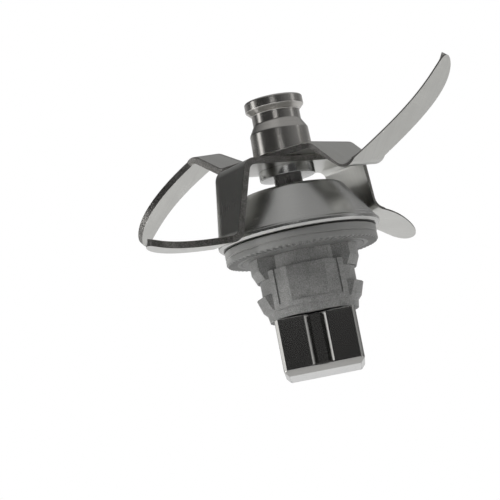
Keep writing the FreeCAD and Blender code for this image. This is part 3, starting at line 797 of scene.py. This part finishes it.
    def placed(self, point: Vector) -> Vector:
        """A point of the blank after folding.

        Args:
            point: The point of the blank, from the shaft's axis and the middle of the sheet.

        Returns:
            Its place in the unit, in millimetres.
        """
        for fold in reversed(self.folds):
            point = fold.applied(point)
        middle = self.strip.foot + self.strip.sheet / 2
        return self.turn @ point + Vector((0, 0, middle))


# Places round a section whose faces are the sheet's cut edges, where the blade's material paints shade
CUT_EDGES = (0, WingSheet.TOP_STEPS + 2, WingSheet.TOP_STEPS + 3)


def strip_mesh(strip: Strip) -> bmesh.types.BMesh:
    """The folded strip as one closed mesh, with a map of distances along and across the sheet.

    Args:
        strip: The strip.

    Returns:
        The mesh in metres.
    """
    mesh = bmesh.new()
    layer = mesh.loops.layers.uv.new("sheet")
    # Mask of the cut edges, where the blade's material paints shade and roughens them
    ground = mesh.faces.layers.float.new("ground")

    def add_face(corners: Sequence[tuple]) -> bmesh.types.BMFace:
        """Adds a face and maps its corners."""
        face = mesh.faces.new([corner[0] for corner in corners])
        for loop, corner in zip(face.loops, corners):
            loop[layer].uv = (corner[1] * MM, corner[2] * MM)
        return face

    for index, wing in enumerate(strip.wings):
        sheet = WingSheet(strip, wing, strip.azimuth + 180.0 * index)
        rows = []
        for along, skew, growth in sheet.stations():
            corners = sheet.section(along, skew, growth)
            rows.append([(mesh.verts.new(point * MM), along, side) for point, side in corners])
        count = len(rows[0])
        for one, other in zip(rows, rows[1:]):
            for here in range(count):
                follow = (here + 1) % count
                corners = (one[here], other[here], other[follow], one[follow])
                add_face(corners)[ground] = 1.0 if here in CUT_EDGES else 0.0
        add_face(rows[-1])
    bmesh.ops.remove_doubles(mesh, verts=mesh.verts, dist=2e-6)
    return mesh


@dataclass(frozen=True)
class CouplingForm:
    """The square drive coupling, in millimetres.

    Attributes:
        height: Height of the block.
        half: Half its width.
        corner: How far the sides stop short of the full width.
        mouth: Half the width of a groove at its mouth.
        floor: Half the width of its floor.
        depth: Its depth.
        blind: Depth that stands for none, so that all sections have as many points.
        groove_foot: Height at which the grooves begin.
        inset: How far the foot is drawn in.
        chamfer: Height of the chamfer round the foot.
        rounding: Radius of the edges round the foot and the top.
    """

    height: float = COUPLING_TOP
    half: float = 12.8
    corner: float = 1.1
    mouth: float = 3.7
    floor: float = 1.5
    depth: float = 2.0
    blind: float = 0.02
    groove_foot: float = 2.0
    inset: float = 1.4
    chamfer: float = 1.6
    rounding: float = 0.3

    def outline(self, depth: float) -> list[Vector]:
        """The block's section with grooves of a given depth, clockwise from one corner.

        Args:
            depth: How deep the grooves are cut at this height.

        Returns:
            The section's points, as many whatever the depth.
        """
        floor, short = self.half - depth, self.half - self.corner
        side = [Corner(-short, self.half, 0.35), Corner(-self.mouth, self.half, 1.1),
                Corner(-self.floor, floor, 0.4), Corner(self.floor, floor, 0.4),
                Corner(self.mouth, self.half, 1.1), Corner(short, self.half, 0.35)]
        whole: list[Corner] = []
        for quarter in range(4):
            turn = Matrix.Rotation(-math.pi / 2 * quarter, 2)
            for corner in side:
                here = turn @ corner.point
                whole.append(Corner(here.x, here.y, corner.blend))
        return rounded(whole, steps=4)

    def levels(self) -> list[tuple[float, float, float]]:
        """The sections from the foot to the top.

        Returns:
            For each section its height, the reach of the sides and the grooves' depth there.
        """
        soft, slope = self.rounding, self.inset / self.chamfer
        foot, full, deep = self.half - self.inset, self.half, self.depth
        below = [(0.0, foot - soft), (soft * 0.25, foot - soft * 0.2), (soft, foot + soft * slope),
                 (self.chamfer - soft, full - soft * slope), (self.chamfer, full - soft * 0.15),
                 (self.chamfer + soft * 0.8, full), (self.groove_foot, full)]
        above = [(self.groove_foot + 0.15, full, deep * 0.8), (self.groove_foot + 0.4, full, deep),
                 (self.height - soft, full, deep), (self.height - soft * 0.3, full - soft * 0.3, deep),
                 (self.height, full - soft, deep)]
        return [(height, reach, self.blind) for height, reach in below] + above

    def mesh(self) -> bmesh.types.BMesh:
        """The coupling: sections joined up the shaft, pressed in where the foot is chamfered.

        Returns:
            The mesh in metres.
        """
        mesh = bmesh.new()
        rings = []
        for height, reach, depth in self.levels():
            rings.append([mesh.verts.new((
                max(-reach, min(reach, point.x)) * MM, max(-reach, min(reach, point.y)) * MM, height * MM))
                for point in self.outline(depth)])
        for one, other in zip(rings, rings[1:]):
            for index in range(len(one)):
                follow = (index + 1) % len(one)
                mesh.faces.new((one[index], one[follow], other[follow], other[index]))
        mesh.faces.new(list(reversed(rings[0])))
        mesh.faces.new(rings[-1])
        bmesh.ops.remove_doubles(mesh, verts=mesh.verts, dist=1e-6)
        return mesh


class Unit:
    """Dresses the CAD frame."""

    # Steps round the axis for each knurl or tooth
    TOOTH_STEPS = 6
    # Softening of the casting's edges, and the angle from which an edge counts as one
    CAST_EDGE, CAST_ANGLE = 0.35, 35

    def __init__(self, frame: dict, materials: Materials) -> None:
        """Keeps the CAD frame and the finishes."""
        self.frame, self.materials = frame, materials

    def piece(self, name: str, mesh: bmesh.types.BMesh, body: str, nodes: Sequence[str],
              finish: Finish) -> Piece:
        """Adds a piece in its finish; the arguments are those of Piece."""
        return Piece(name, mesh, body, nodes, finish, self.materials.get(finish))

    def dress_nodes(self) -> None:
        """Gives every CAD node the material of its slot."""
        slots = {row["node"]: row["material_slot"] for row in self.frame["record"]["subparts"]}
        for name, node in self.frame["nodes"].items():
            material = self.materials.get(Finish(slots[name]))
            if not node.material_slots:
                node.data.materials.append(material)
            for slot in node.material_slots:
                slot.material = material

    def blades(self) -> None:
        """Both folded strips."""
        self.piece(UPPER.name, strip_mesh(UPPER), "rotor", ["upper_blade"], Finish.BLADE)
        self.piece(LOWER.name, strip_mesh(LOWER), "rotor", ["lower_blade"], Finish.BLADE)

    def cover(self) -> None:
        """Cone cover with its rolled rim."""
        bore, inner_shoulder, shoulder, wall, roll, rim = 6.0, 15.9, 16.4, 24.6, 25.3, 26.0
        rim_foot, rim_top, cone_foot, inner_foot, ceiling = 44.4, 45.4, 46.1, 46.2, 58.2
        profile = rounded([
            Corner(wall, COVER_FOOT), Corner(roll, COVER_FOOT, 0.3), Corner(rim, rim_foot, 0.45),
            Corner(rim, rim_top, 0.5), Corner(roll, cone_foot, 0.3), Corner(shoulder, COVER_TOP, 3.0),
            Corner(bore, COVER_TOP, 0.3), Corner(bore, ceiling, 0.3), Corner(inner_shoulder, ceiling, 2.0),
            Corner(wall, inner_foot, 0.3)], steps=8)
        self.piece("cover_shell", lathe(profile, 220), "housing", ["cone_cover"], Finish.COVER)

    def cap(self) -> None:
        """Cap nut with its waist, neck and head."""
        base, barrel, neck, lip, head = 9.6, 9.4, 7.75, 8.0, 9.4
        barrel_top, neck_foot, bore_end, neck_top, head_foot = 78.7, 81.6, 83.4, 85.0, 86.4
        profile = rounded([
            Corner(SPIGOT_BORE, CAP_FOOT), Corner(base, CAP_FOOT, 0.2), Corner(barrel, barrel_top, 1.4),
            Corner(neck, neck_foot, 1.2), Corner(neck, neck_top, 0.3), Corner(lip, neck_top, 0.2),
            Corner(head, head_foot, 0.35), Corner(head, CAP_TOP, 0.6), Corner(0.0, CAP_TOP),
            Corner(0.0, bore_end), Corner(SPIGOT_BORE, bore_end)], steps=6)
        self.piece("cap_turned", lathe(profile, 160), "rotor", ["cap_nut"], Finish.CAP)

    def spacer(self) -> None:
        """The disc under the strips."""
        rim = 8.95
        profile = rounded([
            Corner(SPIGOT_BORE, COLLAR_TOP), Corner(rim, COLLAR_TOP, 0.3), Corner(rim, LOWER_SHEET, 0.15),
            Corner(SPIGOT_BORE, LOWER_SHEET)], steps=4)
        self.piece("spacer_disc", lathe(profile, 140), "rotor", ["hub_spacer"], Finish.SPACER)

    def collar(self) -> None:
        """Knurled collar on the spigot."""
        knurls, groove = 34, 0.28
        bore, land, crest, knurl_foot, knurl_top = 3.25, 4.3, 4.5, 57.9, 63.1
        inside, low, high = 4.2, 57.7, 63.3

        def knurl(angle: float, point: Vector) -> Vector:
            """Cuts the grooves between the knurls."""
            if point.x > inside and low < point.y < high:
                return Vector((point.x - groove * (0.5 + 0.5 * math.cos(angle * knurls)), point.y))
            return point

        profile = rounded([
            Corner(bore, COLLAR_FOOT), Corner(land, COLLAR_FOOT, 0.2), Corner(land, 57.3),
            Corner(crest, knurl_foot), Corner(crest, knurl_top), Corner(land, COLLAR_TOP),
            Corner(bore, COLLAR_TOP)], steps=3)
        self.piece("collar_knurls", lathe(profile, knurls * self.TOOTH_STEPS, knurl), "rotor",
                   ["knurled_collar"], Finish.DARK)

    def seal(self) -> None:
        """Seal ring with its bead line and the teeth round its lower edge."""
        teeth, rise, steepness = 72, 0.35, 4
        inner, tooth_root, side, bead = 19.65, 21.0, 24.4, 24.05
        tooth_top, bead_foot, bead_line, bead_top = 39.15, 40.55, 40.9, 41.25

        def toothed(angle: float, point: Vector) -> Vector:
            """Raises the gaps between the teeth."""
            if point.y < tooth_top and point.x > tooth_root:
                wave = 0.5 + 0.5 * math.tanh(steepness * math.cos(angle * teeth))
                return Vector((point.x, point.y + rise * wave))
            return point

        profile = rounded([
            Corner(inner, SEAL_FOOT, 0.3), Corner(20.9, SEAL_FOOT), Corner(21.1, SEAL_FOOT),
            Corner(23.6, SEAL_FOOT), Corner(23.95, SEAL_FOOT, 0.1), Corner(side, tooth_top, 0.1),
            Corner(side, bead_foot, 0.2), Corner(bead, bead_line, 0.15), Corner(side, bead_top, 0.2),
            Corner(side, SEAL_TOP, 0.35), Corner(inner, SEAL_TOP, 0.3)], steps=4)
        self.piece("seal_moulding", lathe(profile, teeth * self.TOOTH_STEPS, toothed), "housing",
                   ["seal_ring"], Finish.SEAL)

    def coupling(self) -> None:
        """Drive coupling with its rounded corners and grooves."""
        self.piece("coupling_block", CouplingForm().mesh(), "rotor", ["drive_coupling"], Finish.COUPLING)

    def housing(self) -> None:
        """Softens the casting's edges."""
        node = self.frame["nodes"]["bearing_housing"]
        soft = node.modifiers.new("cast_edges", "BEVEL")
        soft.width = self.CAST_EDGE * MM
        soft.segments = 3
        soft.limit_method = "ANGLE"
        soft.angle_limit = math.radians(self.CAST_ANGLE)

    def build(self) -> None:
        """Adds every piece."""
        self.dress_nodes()
        self.blades()
        self.cover()
        self.cap()
        self.spacer()
        self.collar()
        self.seal()
        self.coupling()
        self.housing()


@dataclass(frozen=True)
class Softbox:
    """A rectangular studio light.

    Attributes:
        name: The light's name.
        place: Where it stands, in metres.
        aim: What it points at.
        size: Its width and height in metres.
        power: Its power in watts.
        mirrored: Whether shiny surfaces show it.
    """

    name: str
    place: tuple[float, float, float]
    aim: tuple[float, float, float]
    size: tuple[float, float]
    power: float
    mirrored: bool = True


SOFTBOXES = (
    Softbox("left_strip", (-0.60, -0.03, 0.08), (0, 0, 0.05), (0.15, 0.40), 0.28),
    Softbox("right_strip", (0.62, -0.06, 0.08), (0, 0, 0.05), (0.11, 0.40), 0.10),
    Softbox("sky", (-0.10, -0.20, 0.85), (0, 0, 0.05), (0.34, 0.50), 0.06),
    Softbox("window_left", (-0.070, -0.70, 0.205), (0, 0, 0.08), (0.07, 0.05), 0.022),
    Softbox("window_right", (0.030, -0.70, 0.205), (0, 0, 0.08), (0.07, 0.05), 0.022),
    Softbox("front_fill", (-0.52, -0.34, 0.48), (0, 0, 0.03), (0.16, 0.16), 3.4, mirrored=False),
    Softbox("left_fill", (-0.70, -0.10, 0.04), (0, 0, 0.03), (0.15, 0.15), 2.6, mirrored=False),
    Softbox("right_fill", (0.70, -0.16, 0.04), (0, 0, 0.03), (0.15, 0.15), 2.0, mirrored=False),
    Softbox("floor_fill", (0.0, 0.75, 0.75), (0, 0.38, 0.0), (0.90, 0.50), 5.6, mirrored=False))


@dataclass(frozen=True)
class CameraFit:
    """The camera as it was fitted to the photograph.

    Attributes:
        rise: How far it looks up, in degrees.
        roll: How far it is rolled, in degrees.
        distance: Distance to its aim in metres.
        aim: Height of its aim on the shaft's axis, in metres.
        lens: Focal length in millimetres.
        sensor: Width of the sensor in millimetres.
        shift: Shift of the picture to the side and up, as shares of its width.
        near: Nearest distance that it shows, in metres.
    """

    rise: float = 8.71
    roll: float = -11.08
    distance: float = 0.800
    aim: float = 0.0459
    lens: float = 181.4
    sensor: float = 36.0
    shift: tuple[float, float] = (-0.097, -0.0366)
    near: float = 0.005


class Studio:
    """Floor, world, softboxes and camera."""

    # The world's strength: dark, bright, and where a direction begins and ends to brighten
    LOW_GLOW = (0.05, 0.80, 0.05, 0.65)
    HIGH_GLOW = (0.05, 0.38, 0.30, 0.72)
    FLOOR_LEVEL, FLOOR_RADIUS = -0.05, 1.6
    FLOOR_TONE, FLOOR_ROUGHNESS = 0.78, 0.8

    def light(self) -> None:
        """Places the softboxes."""
        for box in SOFTBOXES:
            data = bpy.data.lights.new(box.name, "AREA")
            data.shape = "RECTANGLE"
            data.size, data.size_y = box.size
            data.energy = box.power
            lamp = bpy.data.objects.new(box.name, data)
            lamp.location = box.place
            way = Vector(box.aim) - Vector(box.place)
            lamp.rotation_euler = way.to_track_quat("-Z", "Y").to_euler()
            lamp.visible_camera = False
            lamp.visible_glossy = box.mirrored
            bpy.context.scene.collection.objects.link(lamp)

    def world(self) -> None:
        """White to the camera; for the object bright low behind it, dim above and dark in front."""
        world = bpy.data.worlds.new("studio")
        bpy.context.scene.world = world
        world.use_nodes = True
        world.node_tree.nodes.clear()
        graph = Graph(world.node_tree)
        way = graph.add("ShaderNodeTexCoord").outputs["Generated"]
        part = graph.add("ShaderNodeSeparateXYZ", {0: way})
        low = graph.math("SUBTRACT", graph.math("MULTIPLY", part.outputs[1], 0.6),
                         graph.math("MULTIPLY", part.outputs[2], 0.8))
        behind = graph.range(low, *self.LOW_GLOW)
        high = graph.math("ADD", part.outputs[2], graph.math("MULTIPLY", part.outputs[0], 0.3))
        above = graph.range(high, *self.HIGH_GLOW)
        glow = graph.math("MAXIMUM", behind, above)
        seen = graph.add("ShaderNodeBackground", {0: (1, 1, 1, 1), 1: 1.0})
        lit = graph.add("ShaderNodeBackground", {0: (1, 1, 1, 1), 1: glow})
        path = graph.add("ShaderNodeLightPath")
        mix = graph.add("ShaderNodeMixShader", {0: path.outputs["Is Camera Ray"], 1: lit.outputs[0],
                                                2: seen.outputs[0]})
        graph.add("ShaderNodeOutputWorld", {0: mix.outputs[0]})

    def floor(self) -> None:
        """A pale round floor, low enough for its light to reach the foot."""
        mesh = bmesh.new()
        bmesh.ops.create_circle(mesh, cap_ends=True, segments=96, radius=self.FLOOR_RADIUS)
        data = bpy.data.meshes.new("floor")
        mesh.to_mesh(data)
        mesh.free()
        floor = bpy.data.objects.new("floor", data)
        floor.location.z = self.FLOOR_LEVEL
        bpy.context.scene.collection.objects.link(floor)
        material = bpy.data.materials.new("pale_floor")
        material.use_nodes = True
        shader = material.node_tree.nodes["Principled BSDF"]
        shader.inputs["Base Color"].default_value = (self.FLOOR_TONE,) * 3 + (1,)
        shader.inputs["Roughness"].default_value = self.FLOOR_ROUGHNESS
        data.materials.append(material)
        floor.visible_camera = False

    def camera(self) -> None:
        """The photograph's camera: low, looking slightly up, and rolled."""
        fit = CameraFit()
        rise, roll, side = math.radians(fit.rise), math.radians(fit.roll), Vector((1, 0, 0))
        ahead = Vector((0, math.cos(rise), math.sin(rise)))
        up = Vector((0, -math.sin(rise), math.cos(rise)))
        across = side * math.cos(roll) + up * math.sin(roll)
        over = up * math.cos(roll) - side * math.sin(roll)
        data = bpy.data.cameras.new("camera")
        data.sensor_width = fit.sensor
        data.lens = fit.lens
        data.shift_x, data.shift_y = fit.shift
        data.clip_start = fit.near
        camera = bpy.data.objects.new("camera", data)
        place = Vector((0, 0, fit.aim)) - ahead * fit.distance
        turn = Matrix((across, over, -ahead)).transposed()
        camera.matrix_world = Matrix.Translation(place) @ turn.to_4x4()
        bpy.context.scene.collection.objects.link(camera)
        bpy.context.scene.camera = camera

    def build(self) -> None:
        """Sets up the whole studio."""
        self.light()
        self.world()
        self.floor()
        self.camera()
        view = bpy.context.scene.view_settings
        view.view_transform = "Standard"
        view.look = "None"


def corners(box: Sequence[Sequence[float]]) -> list[list[float]]:
    """The two corners of a box as plain lists of numbers."""
    return [[float(value) for value in corner] for corner in box]


def main() -> None:
    """Builds the scene on the CAD frame."""
    logging.basicConfig(level=logging.INFO, format="%(name)s: %(message)s")
    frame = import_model()
    Unit(frame, Materials()).build()
    Studio().build()


if __name__ == "__main__":
    main()
